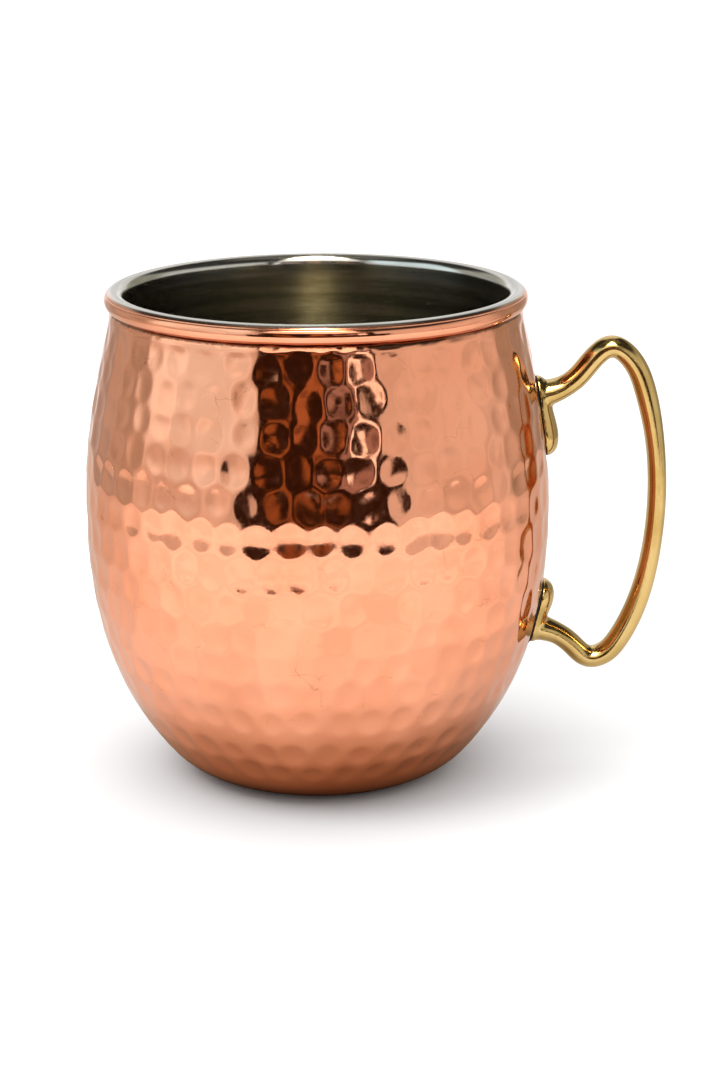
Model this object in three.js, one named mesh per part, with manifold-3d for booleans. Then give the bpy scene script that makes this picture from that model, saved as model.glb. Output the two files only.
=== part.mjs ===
// A barrel-shaped hammered copper mug with a steel liner and a cast brass handle.
// Millimetres, +Z up. The origin is the centre of the flat base, and +X points towards the handle.

import * as THREE from 'three';
import { mergeVertices } from 'three/addons/utils/BufferGeometryUtils.js';
import Module from 'manifold-3d';

const wasm = await Module();
wasm.setup();

const { degToRad, lerp, smoothstep } = THREE.MathUtils;

// ---- Driving dimensions ----

// Outside of the copper shell, from the flat base up to the rim.
const BASE_FLAT_RADIUS = 19;
const BASE_CORNER_RADIUS = 17;
const BASE_CORNER_TURN = degToRad(49);
const BELLY_RADIUS = 47.45;
const BELLY_HEIGHT = 56.7;
const NECK_RADIUS = 41.4;
const NECK_HEIGHT = 97;
const NECK_LEAN = degToRad(10);

// How far each curve of the side reaches before it bends: flare, below belly, above belly, below neck.
const FLARE_REACH = 21.5;
const BELLY_REACH_DOWN = 16;
const BELLY_REACH_UP = 19;
const NECK_REACH = 11;

// The rolled rim is a hollow round bead that stands proud of the wall on both sides.
const BEAD_SECTION_RADIUS = 2;
const BEAD_CENTRE_RADIUS = 40.6;
const BEAD_CENTRE_HEIGHT = 98.8;
const FLANGE_EDGE = degToRad(39); // the liner's flange ends here, measured up from the outside of the bead
const CURL_STEP = degToRad(32); // the copper curl steps out to the full bead here
const CURL_END = degToRad(-60); // the copper curl's free edge, tucked under the bead

// Sheet and space between the two walls.
const COPPER_SHEET = 0.7;
const STEEL_SHEET = 0.5;
const AIR_GAP = 1.65;
const CLEARANCE = 0.15;
const GASKET_THICKNESS = 0.5;

const LINER_OUTSIDE = -(COPPER_SHEET + AIR_GAP);
const LINER_INSIDE = LINER_OUTSIDE - STEEL_SHEET;
const GASKET_INSIDE = CLEARANCE;
const GASKET_OUTSIDE = GASKET_INSIDE + GASKET_THICKNESS;
const FOOT_FACE = GASKET_OUTSIDE + CLEARANCE;

// Handle rod: centreline in the XZ plane, from inside the upper foot, over the hump, to the lower foot.
const HANDLE_LINE = [
	[44, 78], [49.3, 79.4], [52.7, 81.6], [56.2, 85.7], [59.9, 88.3], [63.5, 85.9], [66.8, 79.3],
	[69.1, 68.6], [69.85, 57.5], [69.1, 46.2], [66.2, 33.6], [62.7, 26.2], [59.5, 22.7], [56.4, 22],
	[52.9, 24.7], [49.6, 27.2], [43, 29.2],
];
const ROD_HALF_WIDTH = 3.2;
const ARM_HALF_DEPTH = 2.35;
const GRIP_HALF_DEPTH = 1.95;

// The rod thins from arm to grip over the first stretch of its length, and thickens again over the second.
const ARM_TO_GRIP = [ 0.28, 0.42 ];
const GRIP_TO_ARM = [ 0.55, 0.78 ];

// A foot is a drop that lies on the wall: a narrow root under the arm and a round bulb at the far end.
const FEET = {
	upper: { root: 82.3, tip: 65.5, screw: 78.3 },
	lower: { root: 25.7, tip: 39.2, screw: 28.6 },
};
const FOOT_ROOT = { halfWidth: 3.7, depth: 1.5 };
const FOOT_BULB = { halfWidth: 5, depth: 1.95 };
const ROOT_TO_BULB = [ 0.3, 0.75 ]; // the stretch of a foot's length over which it widens
const GASKET_MARGIN = 0.25;
const GASKET_CUTTER_SCALE = 4; // deep enough for a gasket's cutter to pass right through the gasket's layer

// Fixings between the two walls.
const SCREW_RADIUS = 1.3;
const SCREW_HOLE_RADIUS = SCREW_RADIUS + CLEARANCE;
const SCREW_DEPTH = 3; // into the brass
const SCREW_HEAD_RADIUS = 2.6;
const SCREW_HEAD_HEIGHT = 0.55;
const SCREW_SLOT = { width: 0.7, depth: 0.25 };
const WASHER_RADIUS = 4;
const WASHER_THICKNESS = 0.35;
const WASHER_CROWN = 0.18; // how far the curved washer rises under the flat head

// Facets.
const AROUND = 48;
const STEPS = { corner: 4, side: 10, curl: 4, rod: 40, foot: 12 };
const ROD_SIDES = 12;
const FOOT_SIDES = 16;
const SCREW_SIDES = 16;
const HALVINGS = 30; // steps of the search for a height on the wall

// ---- Solids ----

/** A closed three.js geometry as a manifold-3d solid. */
function toSolid( geometry ) {

	const bare = geometry.index ? geometry.clone() : geometry;
	bare.deleteAttribute( 'normal' );
	bare.deleteAttribute( 'uv' );
	const merged = mergeVertices( bare );
	return new wasm.Manifold( new wasm.Mesh( {
		numProp: 3,
		vertProperties: new Float32Array( merged.attributes.position.array ),
		triVerts: new Uint32Array( merged.index.array ),
	} ) );

}

/** A manifold-3d solid as a three.js geometry. */
function toGeometry( solid ) {

	const { vertProperties, triVerts } = solid.getMesh();
	const geometry = new THREE.BufferGeometry();
	geometry.setAttribute( 'position', new THREE.BufferAttribute( vertProperties, 3 ) );
	geometry.setIndex( new THREE.BufferAttribute( triVerts, 1 ) );
	geometry.computeVertexNormals();
	return geometry;

}

/** Turns a profile of (radius, height) points about +Z. */
function revolve( points, segments = AROUND ) {

	return new THREE.LatheGeometry( points, segments ).rotateX( Math.PI / 2 );

}

/** Points of a circle's arc, from one angle to another. */
function arc( centre, radius, from, to, steps ) {

	const points = [];
	for ( let i = 0; i <= steps; i ++ ) {

		const angle = lerp( from, to, i / steps );
		const spoke = new THREE.Vector2( Math.cos( angle ), Math.sin( angle ) ).multiplyScalar( radius );
		points.push( spoke.add( centre ) );

	}

	return points;

}

/**
 * A closed tube of oval sections along a curve in the XZ plane, drawn to a point at both ends.
 * sizeAt(u) gives the half width along Y and the half depth in the plane.
 */
function sweep( curve, sizeAt, stations, sides ) {

	const across = new THREE.Vector3( 0, 1, 0 );
	const positions = [];
	const indices = [];
	const start = curve.getPointAt( 0 );
	const end = curve.getPointAt( 1 );

	for ( let i = 1; i < stations; i ++ ) {

		const u = i / stations;
		const centre = curve.getPointAt( u );
		const outward = curve.getTangentAt( u ).cross( across );
		const { halfWidth, halfDepth } = sizeAt( u );
		for ( let j = 0; j < sides; j ++ ) {

			const angle = 2 * Math.PI * j / sides;
			const point = centre.clone()
				.addScaledVector( across, halfWidth * Math.cos( angle ) )
				.addScaledVector( outward, halfDepth * Math.sin( angle ) );
			positions.push( ...point.toArray() );

		}

	}

	const startPole = positions.length / 3;
	const endPole = startPole + 1;
	positions.push( ...start.toArray(), ...end.toArray() );

	const lastRing = ( stations - 2 ) * sides;
	for ( let j = 0; j < sides; j ++ ) {

		const next = ( j + 1 ) % sides;
		indices.push( startPole, next, j );
		indices.push( endPole, lastRing + j, lastRing + next );
		for ( let ring = 0; ring < lastRing; ring += sides ) {

			indices.push( ring + j, ring + next, ring + sides + next );
			indices.push( ring + j, ring + sides + next, ring + sides + j );

		}

	}

	const geometry = new THREE.BufferGeometry();
	geometry.setAttribute( 'position', new THREE.Float32BufferAttribute( positions, 3 ) );
	geometry.setIndex( indices );
	return geometry;

}

// ---- Wall outline ----

const cornerEnd = new THREE.Vector2(
	BASE_FLAT_RADIUS + BASE_CORNER_RADIUS * Math.sin( BASE_CORNER_TURN ),
	BASE_CORNER_RADIUS * ( 1 - Math.cos( BASE_CORNER_TURN ) )
);

const lowerSide = new THREE.CubicBezierCurve(
	cornerEnd,
	new THREE.Vector2(
		cornerEnd.x + FLARE_REACH * Math.cos( BASE_CORNER_TURN ),
		cornerEnd.y + FLARE_REACH * Math.sin( BASE_CORNER_TURN )
	),
	new THREE.Vector2( BELLY_RADIUS, BELLY_HEIGHT - BELLY_REACH_DOWN ),
	new THREE.Vector2( BELLY_RADIUS, BELLY_HEIGHT )
);

const upperSide = new THREE.CubicBezierCurve(
	new THREE.Vector2( BELLY_RADIUS, BELLY_HEIGHT ),
	new THREE.Vector2( BELLY_RADIUS, BELLY_HEIGHT + BELLY_REACH_UP ),
	new THREE.Vector2(
		NECK_RADIUS + NECK_REACH * Math.sin( NECK_LEAN ),
		NECK_HEIGHT - NECK_REACH * Math.cos( NECK_LEAN )
	),
	new THREE.Vector2( NECK_RADIUS, NECK_HEIGHT )
);

/** A curve's point at t, moved out along its normal. */
function offsetPoint( curve, t, offset ) {

	const tangent = curve.getTangent( t );
	return curve.getPoint( t ).add( new THREE.Vector2( tangent.y, - tangent.x ).multiplyScalar( offset ) );

}

/** The wall's outline from the axis to the neck, moved out from the copper's outside by offset. */
function wallOutline( offset ) {

	const cornerCentre = new THREE.Vector2( BASE_FLAT_RADIUS, BASE_CORNER_RADIUS );
	const base = - Math.PI / 2;
	const points = [
		new THREE.Vector2( 0, - offset ),
		...arc( cornerCentre, BASE_CORNER_RADIUS + offset, base, base + BASE_CORNER_TURN, STEPS.corner ),
	];
	for ( const curve of [ lowerSide, upperSide ] ) {

		for ( let i = 1; i <= STEPS.side; i ++ ) points.push( offsetPoint( curve, i / STEPS.side, offset ) );

	}

	return points;

}

/** The point and the outward normal of the wall's outside at one height, in the XZ plane. */
function wallAt( height ) {

	const curve = height < BELLY_HEIGHT ? lowerSide : upperSide;
	let low = 0;
	let high = 1;
	for ( let i = 0; i < HALVINGS; i ++ ) {

		const middle = ( low + high ) / 2;
		if ( curve.getPoint( middle ).y < height ) low = middle;
		else high = middle;

	}

	const point = curve.getPoint( low );
	const normal = offsetPoint( curve, low, 1 ).sub( point );
	return {
		point: new THREE.Vector3( point.x, 0, point.y ),
		normal: new THREE.Vector3( normal.x, 0, normal.y ),
	};

}

/** Everything inside the wall outline at one offset. */
function filledWall( offset ) {

	return toSolid( revolve( [ ...wallOutline( offset ), new THREE.Vector2( 0, NECK_HEIGHT ) ] ) );

}

/** The layer of the wall between two offsets. */
function wallLayer( inside, outside ) {

	return toSolid( revolve( [ ...wallOutline( outside ), ...wallOutline( inside ).reverse() ] ) );

}

// ---- Fixings through the wall ----

/** Stands a geometry that was made along +X on the wall, with its origin on the copper's outside. */
function standOnWall( object, height ) {

	const { point, normal } = wallAt( height );
	object.position.copy( point );
	object.rotation.y = - Math.atan2( normal.z, normal.x );
	object.updateMatrix();
	return object;

}

/** A round bar along the wall's normal at one height, between two offsets from the copper's outside. */
function barThroughWall( height, radius, inside, outside ) {

	const bar = new THREE.CylinderGeometry( radius, radius, outside - inside, SCREW_SIDES );
	bar.rotateZ( - Math.PI / 2 ).translate( ( inside + outside ) / 2, 0, 0 );
	const { matrix } = standOnWall( new THREE.Object3D(), height );
	return toSolid( bar.applyMatrix4( matrix ) );

}

/** The clear hole for one foot's screw, from between the walls through the copper and into the brass. */
function screwHole( height ) {

	return barThroughWall( height, SCREW_HOLE_RADIUS, LINER_OUTSIDE, FOOT_FACE + SCREW_DEPTH + CLEARANCE );

}

// ---- The pieces ----

const beadCentre = new THREE.Vector2( BEAD_CENTRE_RADIUS, BEAD_CENTRE_HEIGHT );

/** Outer copper shell, with its top edge rolled outwards inside the steel flange. */
function copperShell() {

	const hiddenOutside = BEAD_SECTION_RADIUS - STEEL_SHEET - CLEARANCE;
	const hiddenInside = hiddenOutside - COPPER_SHEET;
	const shownInside = BEAD_SECTION_RADIUS - COPPER_SHEET;
	const profile = [
		...wallOutline( 0 ),
		...arc( beadCentre, hiddenInside, Math.PI, CURL_STEP, STEPS.curl ),
		...arc( beadCentre, shownInside, CURL_STEP, CURL_END, STEPS.curl ),
		...arc( beadCentre, BEAD_SECTION_RADIUS, CURL_END, CURL_STEP, STEPS.curl ),
		...arc( beadCentre, hiddenOutside, CURL_STEP, Math.PI, STEPS.curl ),
		...wallOutline( - COPPER_SHEET ).reverse(),
	];
	let shell = toSolid( revolve( profile ) );
	for ( const { screw } of Object.values( FEET ) ) shell = shell.subtract( screwHole( screw ) );
	return toGeometry( shell );

}

/** Inner steel cup, with a flange turned over the top of the bead. */
function steelLiner() {

	const flangeInside = BEAD_SECTION_RADIUS - STEEL_SHEET;
	const profile = [
		...wallOutline( LINER_OUTSIDE ),
		...arc( beadCentre, flangeInside, Math.PI, FLANGE_EDGE, STEPS.curl ),
		...arc( beadCentre, BEAD_SECTION_RADIUS, FLANGE_EDGE, Math.PI, STEPS.curl ),
		...wallOutline( LINER_INSIDE ).reverse(),
	];
	return revolve( profile );

}

/** One drop-shaped foot, centred on the brass face, before the wall is cut away from it. */
function footDrop( { root, tip }, margin, sizeScale ) {

	const direction = Math.sign( tip - root );
	const from = root - direction * margin;
	const to = tip + direction * margin;
	const line = [];
	for ( let i = 0; i <= STEPS.foot; i ++ ) {

		const { point, normal } = wallAt( lerp( from, to, i / STEPS.foot ) );
		line.push( point.addScaledVector( normal, FOOT_FACE ) );

	}

	const sizeAt = ( u ) => {

		const towardsBulb = smoothstep( u, ...ROOT_TO_BULB );
		const roundEnds = Math.sqrt( 1 - ( 2 * u - 1 ) ** 4 );
		return {
			halfWidth: roundEnds * ( margin + lerp( FOOT_ROOT.halfWidth, FOOT_BULB.halfWidth, towardsBulb ) ),
			halfDepth: roundEnds * sizeScale * lerp( FOOT_ROOT.depth, FOOT_BULB.depth, towardsBulb ),
		};

	};

	return toSolid( sweep( new THREE.CatmullRomCurve3( line ), sizeAt, STEPS.foot, FOOT_SIDES ) );

}

/** The brass casting: rod, hump and both feet in one piece. */
function brassHandle() {

	const line = HANDLE_LINE.map( ( [ x, z ] ) => new THREE.Vector3( x, 0, z ) );
	const centreline = new THREE.CatmullRomCurve3( line );
	const sizeAt = ( u ) => {

		const grip = smoothstep( u, ...ARM_TO_GRIP ) * ( 1 - smoothstep( u, ...GRIP_TO_ARM ) );
		return { halfWidth: ROD_HALF_WIDTH, halfDepth: lerp( ARM_HALF_DEPTH, GRIP_HALF_DEPTH, grip ) };

	};

	let casting = toSolid( sweep( centreline, sizeAt, STEPS.rod, ROD_SIDES ) );
	for ( const foot of Object.values( FEET ) ) casting = casting.add( footDrop( foot, 0, 1 ) );
	casting = casting.subtract( filledWall( FOOT_FACE ) );
	for ( const { screw } of Object.values( FEET ) ) casting = casting.subtract( screwHole( screw ) );
	return toGeometry( casting );

}

/** Thin pad between one foot and the copper, a little larger than the foot all round. */
function handleGasket( foot ) {

	const deepDrop = footDrop( foot, GASKET_MARGIN, GASKET_CUTTER_SCALE );
	const pad = wallLayer( GASKET_INSIDE, GASKET_OUTSIDE ).intersect( deepDrop );
	return toGeometry( pad.subtract( screwHole( foot.screw ) ) );

}

/** Curved washer that spreads the screw's pull over the inside of the copper. */
function backingWasher( height ) {

	const outside = - COPPER_SHEET - CLEARANCE;
	const ring = barThroughWall( height, WASHER_RADIUS, LINER_OUTSIDE, 0 )
		.intersect( wallLayer( outside - WASHER_THICKNESS, outside ) )
		.subtract( screwHole( height ) );
	return toGeometry( ring );

}

/** Slotted low-head screw along +X, with its origin where it crosses the copper's outside. */
function handleScrew() {

	const underHead = - ( COPPER_SHEET + WASHER_THICKNESS + 2 * CLEARANCE + WASHER_CROWN );
	const headTop = underHead - SCREW_HEAD_HEIGHT;
	const tip = FOOT_FACE + SCREW_DEPTH;
	const chamfer = SCREW_RADIUS / 4;
	const profile = [
		[ 0, headTop ], [ SCREW_HEAD_RADIUS - chamfer, headTop ], [ SCREW_HEAD_RADIUS, headTop + chamfer ],
		[ SCREW_HEAD_RADIUS, underHead ], [ SCREW_RADIUS, underHead ], [ SCREW_RADIUS, tip - chamfer ],
		[ SCREW_RADIUS - chamfer, tip ], [ 0, tip ],
	].map( ( [ radius, along ] ) => new THREE.Vector2( radius, along ) );
	const body = new THREE.LatheGeometry( profile, SCREW_SIDES ).rotateZ( - Math.PI / 2 );
	const slot = new THREE.BoxGeometry( 2 * SCREW_SLOT.depth, 3 * SCREW_HEAD_RADIUS, SCREW_SLOT.width );
	return toGeometry( toSolid( body ).subtract( toSolid( slot.translate( headTop, 0, 0 ) ) ) );

}

// ---- Assembly ----

function named( name, geometry, colour, roughness, metalness ) {

	const material = new THREE.MeshStandardMaterial( { color: colour, roughness, metalness } );
	const mesh = new THREE.Mesh( geometry, material );
	mesh.name = name;
	return mesh;

}

const mug = new THREE.Group();
mug.add(
	named( 'copper_shell', copperShell(), 0xd98c6a, 0.18, 1 ),
	named( 'steel_liner', steelLiner(), 0xb8b4aa, 0.32, 1 ),
	named( 'brass_handle', brassHandle(), 0xc9a050, 0.22, 1 )
);

for ( const [ place, foot ] of Object.entries( FEET ) ) {

	mug.add(
		named( `handle_gasket_${ place }`, handleGasket( foot ), 0x161412, 0.7, 0 ),
		named( `backing_washer_${ place }`, backingWasher( foot.screw ), 0xa9a9a6, 0.35, 1 ),
		standOnWall( named( `handle_screw_${ place }`, handleScrew(), 0xb5b5b2, 0.3, 1 ), foot.screw )
	);

}

export default mug;
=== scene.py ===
# Looks of the hammered copper mug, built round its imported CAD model.
# The frame is in metres with +Z up and the handle towards +X. Shapes are worked out in millimetres.

import math
import random

import bmesh
import bpy
import numpy as np
from mathutils import Matrix, Vector
from mathutils.noise import noise as noise_at


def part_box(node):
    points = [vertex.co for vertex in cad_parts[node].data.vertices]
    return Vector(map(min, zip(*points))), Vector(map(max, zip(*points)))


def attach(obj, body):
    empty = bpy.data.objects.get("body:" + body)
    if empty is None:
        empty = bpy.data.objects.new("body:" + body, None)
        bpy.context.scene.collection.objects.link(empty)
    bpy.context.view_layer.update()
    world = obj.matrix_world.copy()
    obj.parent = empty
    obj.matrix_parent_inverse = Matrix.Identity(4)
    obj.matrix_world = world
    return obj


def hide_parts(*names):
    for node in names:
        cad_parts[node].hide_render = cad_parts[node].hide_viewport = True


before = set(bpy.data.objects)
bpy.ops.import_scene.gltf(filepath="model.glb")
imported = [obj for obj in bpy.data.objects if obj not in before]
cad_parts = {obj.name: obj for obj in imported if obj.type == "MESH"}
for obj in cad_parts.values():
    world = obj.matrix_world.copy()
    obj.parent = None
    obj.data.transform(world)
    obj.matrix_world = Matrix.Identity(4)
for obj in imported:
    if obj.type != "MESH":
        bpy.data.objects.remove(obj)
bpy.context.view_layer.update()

MM = 0.001
SEED = 7


# ---- Driving dimensions, in millimetres ----

def node_box(node):
    """Lowest and highest corner of a CAD node."""
    low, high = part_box(node)
    return low / MM, high / MM


FACET_LOSS = 0.07  # how far the top of the CAD's faceted rim falls short of the round one
BELLY_RADIUS = node_box("copper_shell")[1].y
RIM_HEIGHT = node_box("steel_liner")[1].z + FACET_LOSS

# Outside of the copper shell, from the flat base up to the rim.
BASE_FLAT_RADIUS = 19
BASE_CORNER_RADIUS = 17
BASE_CORNER_TURN = math.radians(49)
BELLY_HEIGHT = 56.7
NECK_RADIUS = BELLY_RADIUS - 6.05
NECK_HEIGHT = RIM_HEIGHT - 3.8
NECK_LEAN = math.radians(10)
FLARE_REACH = 21.5
BELLY_REACH_DOWN = 16
BELLY_REACH_UP = 19
NECK_REACH = 11

# Rolled rim: a round bead whose top belongs to the liner and whose outside belongs to the copper.
BEAD_RADIUS = 2
BEAD_CENTRE = (BELLY_RADIUS - 6.85, RIM_HEIGHT - BEAD_RADIUS)
RIM_SEAM = math.radians(39)
CURL_END = math.radians(-60)

COPPER_SHEET = 0.7
STEEL_SHEET = 0.5
LINER_OUTSIDE = -2.35
LINER_INSIDE = LINER_OUTSIDE - STEEL_SHEET

# Hammer marks: one row of round hollows above the other, cut by a round hammer face. Places on the wall are
# distances along its outline from the middle of the base.
BALL_RADIUS = 29
MARK_DEPTH = 0.235
MARK_PITCH = 6.0
MARK_EDGE = 0.022  # how softly a mark runs into the next one
MARK_ROWS = (38, 44, 53.3, 60, 65.5, 71.5, 78, 84.9, 91.8, 98.6, 105, 111.4, 117.8, 124.3)
LOW_BALL = 20  # the lowest rows are cut by a smaller ball, further apart and a little deeper
LOW_PITCH = 6.45
LOW_DEEPER = 0.05
LOW_ROWS_END = (58, 68)
LOOSE_ROWS = (100, 118)  # over this stretch of the wall the marks grow shallower, wider and less regular
LOOSE_CHANGE = 0.15
ALONG_SPREAD = 0.35
PITCH_SPREAD = 0.1
DEPTH_SPREAD = (0.75, 1.2)
BALL_SPREAD = (0.85, 1.25)
STRETCH_SPREAD = (0.85, 1.15)
WALL_BOW = 145  # radius of the wall's own curve from base to neck
MARK_REACH = 6  # no mark reaches further than this along the wall, or this many columns round it
MARK_COLUMNS = 12
STEEPEST = 30
UNEVEN_DEPTH = 0.09
UNEVEN_SIZE = 5
SMOOTH_BASE = 34
SMOOTH_NECK = 127.6

# Crease under the rim: its depth, where it starts and ends before the wall's upper end, and its ragged edge.
CREASE_DEPTH = 0.42
CREASE_SLOPE = (-0.5, 0.2)
CREASE_RAGGED = (0.25, 0.75)
CREASE_TEETH = 200

# Feet of the handle. Each lies on a flat seat pressed into the wall, from its root to its tip: the heights
# on the wall of the seat's two ends, how far each end stands off the copper, and the height of the screw.
FEET = {
    "upper": {"root": 82.3, "tip": 65.5, "root_off": -0.55, "tip_off": -0.75, "screw": 78.3},
    "lower": {"root": 25.7, "tip": 39.2, "root_off": 0.1, "tip_off": -0.25, "screw": 28.6},
}
FOOT_ROOT = {"half_width": 4.2, "rise": 2.9}
FOOT_BULB = {"half_width": 5.3, "rise": 3.6}
FOOT_SWELL = (0.3, 0.75)  # over this part of its length a foot grows from its root to its bulb
FOOT_BLUNTNESS = 5
GASKET_HALF = 0.26
GASKET_MARGIN = 0.25
SEAT_SHOULDER = (1.12, 1.6)  # in foot sizes: the seat is flat up to the first, and gone beyond the second
SEAT_SQUARENESS = 3

# Handle rod: centreline in the XZ plane from inside the upper foot round to the lower foot.
HANDLE_LINE = (
    (44, 78), (49.3, 79.4), (52.7, 81.6), (56.2, 85.7), (59.9, 88.1), (63.5, 85.9), (66.8, 79.3),
    (69.1, 68.6), (69.85, 57.5), (69.1, 46.2), (66.2, 33.6), (62.7, 26.2), (59.5, 22.7), (56.4, 22),
    (52.9, 24.7), (49.6, 27.2), (43, 29.2),
)
ROD_HALF_WIDTH = 3.2
ARM_HALF_DEPTH = 2.25
ARM_FLARE = 0.18
FLARE_ENDS = ((0.02, 0.07), (0.93, 0.98))  # parts of the rod's length over which the flares run out
GRIP_HALF_DEPTH = 1.95
GRIP_ENDS = ((0.28, 0.42), (0.55, 0.78))  # parts of the rod's length over which it thins and thickens again
HANDLE_VOXEL = 0.25
HANDLE_SMOOTHING = 24

# Screws and washers between the two walls.
SCREW_RADIUS = 1.3
SCREW_DEPTH = 3
DRILL_START = -3
SHELL_HOLE = (-2.2, 1)
THREAD_PITCH = 0.5
THREAD_DEPTH = 0.18
SCREW_HEAD_RADIUS = 2.6
SCREW_HEAD_HEIGHT = 0.35
SLOT_WIDTH = 0.7
SLOT_DEPTH = 0.15
WASHER_RADIUS = 4
WASHER_THICKNESS = 0.2
CLEARANCE = 0.15

# Fineness of the walls' meshes.
SHELL_AROUND = 400
SHELL_ROW = 0.6
CORNER_ROW = 1.3
HIDDEN_ROW = 2.2
LINER_AROUND = 240


# ---- Small helpers ----

def smoothstep(value, low, high):
    """0 up to low, 1 from high on, and a smooth rise between them."""
    t = np.clip((value - low) / (high - low), 0, 1)
    return t * t * (3 - 2 * t)


def lerp(a, b, t):
    """From a at t = 0 to b at t = 1."""
    return a + (b - a) * t


def arc(centre, radius, start, end, steps):
    """Points of a circle's arc, as rows of (radius, height)."""
    angles = np.linspace(start, end, steps + 1)
    return np.column_stack((centre[0] + radius * np.cos(angles), centre[1] + radius * np.sin(angles)))


def bezier(a, b, c, d, steps):
    """Points of a cubic curve, as rows."""
    t = np.linspace(0, 1, steps + 1)[:, None]
    a, b, c, d = (np.array(p, float) for p in (a, b, c, d))
    return a * (1 - t) ** 3 + 3 * b * t * (1 - t) ** 2 + 3 * c * t ** 2 * (1 - t) + d * t ** 3


def spline(points, steps):
    """A natural cubic spline through the points, as evenly spaced points and unit tangents."""
    points = np.array(points, float)
    knots = np.concatenate(([0], np.cumsum(np.linalg.norm(np.diff(points, axis=0), axis=1))))
    gaps = np.diff(knots)
    count = len(points)
    system = np.eye(count)
    right = np.zeros_like(points)
    for i in range(1, count - 1):
        system[i, i - 1:i + 2] = gaps[i - 1], 2 * (gaps[i - 1] + gaps[i]), gaps[i]
        right[i] = 6 * ((points[i + 1] - points[i]) / gaps[i] - (points[i] - points[i - 1]) / gaps[i - 1])
    bend = np.linalg.solve(system, right)
    where = np.linspace(0, knots[-1], steps + 1)
    i = np.clip(np.searchsorted(knots, where, side="right") - 1, 0, count - 2)
    gap = gaps[i][:, None]
    left = (knots[i + 1] - where)[:, None]
    done = (where - knots[i])[:, None]
    line = (
        (bend[i] * left ** 3 + bend[i + 1] * done ** 3) / (6 * gap)
        + (points[i] / gap - bend[i] * gap / 6) * left
        + (points[i + 1] / gap - bend[i + 1] * gap / 6) * done
    )
    tangent = np.gradient(line, axis=0)
    return line, tangent / np.linalg.norm(tangent, axis=1)[:, None]


def grid_mesh(name, rings, pole_start=None, pole_end=None, loop=False):
    """A mesh of closed rings of points. Its ends close to a point each, or the last ring joins the first."""
    rings = np.asarray(rings, float)
    count, around = rings.shape[:2]
    points = rings.reshape(-1, 3)
    steps = count if loop else count - 1
    i, j = np.meshgrid(np.arange(steps), np.arange(around), indexing="ij")
    after = (i + 1) % count
    beside = (j + 1) % around
    quads = np.stack((i * around + j, i * around + beside, after * around + beside, after * around + j), -1)
    faces = quads.reshape(-1, 4).tolist()
    extra = []
    if pole_start is not None:
        pole = len(points)
        extra.append(pole_start)
        faces += [(pole, k + 1 if k + 1 < around else 0, k) for k in range(around)]
    if pole_end is not None:
        pole = len(points) + len(extra)
        last = (count - 1) * around
        extra.append(pole_end)
        faces += [(pole, last + k, last + (k + 1) % around) for k in range(around)]
    vertices = np.vstack([points, *[np.array([p], float) for p in extra]]) * MM
    mesh = bpy.data.meshes.new(name)
    mesh.from_pydata(vertices.tolist(), [], faces)
    mesh.update()
    return mesh


def facing_out(mesh):
    """Turns a closed mesh's faces to the outside."""
    work = bmesh.new()
    work.from_mesh(mesh)
    bmesh.ops.recalc_face_normals(work, faces=work.faces)
    work.to_mesh(mesh)
    work.free()


def new_object(name, mesh):
    obj = bpy.data.objects.new(name, mesh)
    bpy.context.scene.collection.objects.link(obj)
    return obj


def joined(name, meshes):
    """Several meshes as one, without joining their surfaces."""
    work = bmesh.new()
    for mesh in meshes:
        work.from_mesh(mesh)
    result = bpy.data.meshes.new(name)
    work.to_mesh(result)
    work.free()
    return result


def settle(obj):
    """Applies every modifier."""
    shape = bpy.data.meshes.new_from_object(obj.evaluated_get(bpy.context.evaluated_depsgraph_get()))
    obj.modifiers.clear()
    obj.data = shape


def cut(obj, *cutter_meshes):
    """Takes closed solids away from the object, one after the other."""
    for mesh in cutter_meshes:
        cutter = new_object("cutter", mesh)
        tool = obj.modifiers.new("cut", "BOOLEAN")
        tool.operation = "DIFFERENCE"
        tool.solver = "MANIFOLD"
        tool.object = cutter
        settle(obj)
        bpy.data.objects.remove(cutter)


def finish_piece(obj, material, node):
    """Smooth shading, a material, and the piece's place in the frame."""
    for polygon in obj.data.polygons:
        polygon.use_smooth = True
    obj.data.materials.clear()
    obj.data.materials.append(material)
    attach(obj, "root")
    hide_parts(node)


# ---- Wall outline ----

def wall_outline(steps=200):
    """Outline of the copper's outside from the axis to the neck: radius, height and outward normal."""
    base = -math.pi / 2
    centre = (BASE_FLAT_RADIUS, BASE_CORNER_RADIUS)
    corner = arc(centre, BASE_CORNER_RADIUS, base, base + BASE_CORNER_TURN, steps // 2)
    flare = corner[-1] + FLARE_REACH * np.array((math.cos(BASE_CORNER_TURN), math.sin(BASE_CORNER_TURN)))
    belly = (BELLY_RADIUS, BELLY_HEIGHT)
    below = (BELLY_RADIUS, BELLY_HEIGHT - BELLY_REACH_DOWN)
    above = (BELLY_RADIUS, BELLY_HEIGHT + BELLY_REACH_UP)
    neck = (NECK_RADIUS, NECK_HEIGHT)
    lean = np.array((math.sin(NECK_LEAN), -math.cos(NECK_LEAN)))
    shoulder = neck + NECK_REACH * lean
    lower = bezier(corner[-1], flare, below, belly, steps)
    upper = bezier(belly, above, shoulder, neck, steps)
    line = np.vstack(([(0, 0)], corner, lower[1:], upper[1:]))
    tangent = np.gradient(line, axis=0)
    tangent[:2] = 1, 0
    tangent /= np.linalg.norm(tangent, axis=1)[:, None]
    normal = np.column_stack((tangent[:, 1], -tangent[:, 0]))
    along = np.concatenate(([0], np.cumsum(np.linalg.norm(np.diff(line, axis=0), axis=1))))
    return along, line, normal


WALL_ALONG, WALL_LINE, WALL_NORMAL = wall_outline()
WALL_LENGTH = WALL_ALONG[-1]


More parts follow.
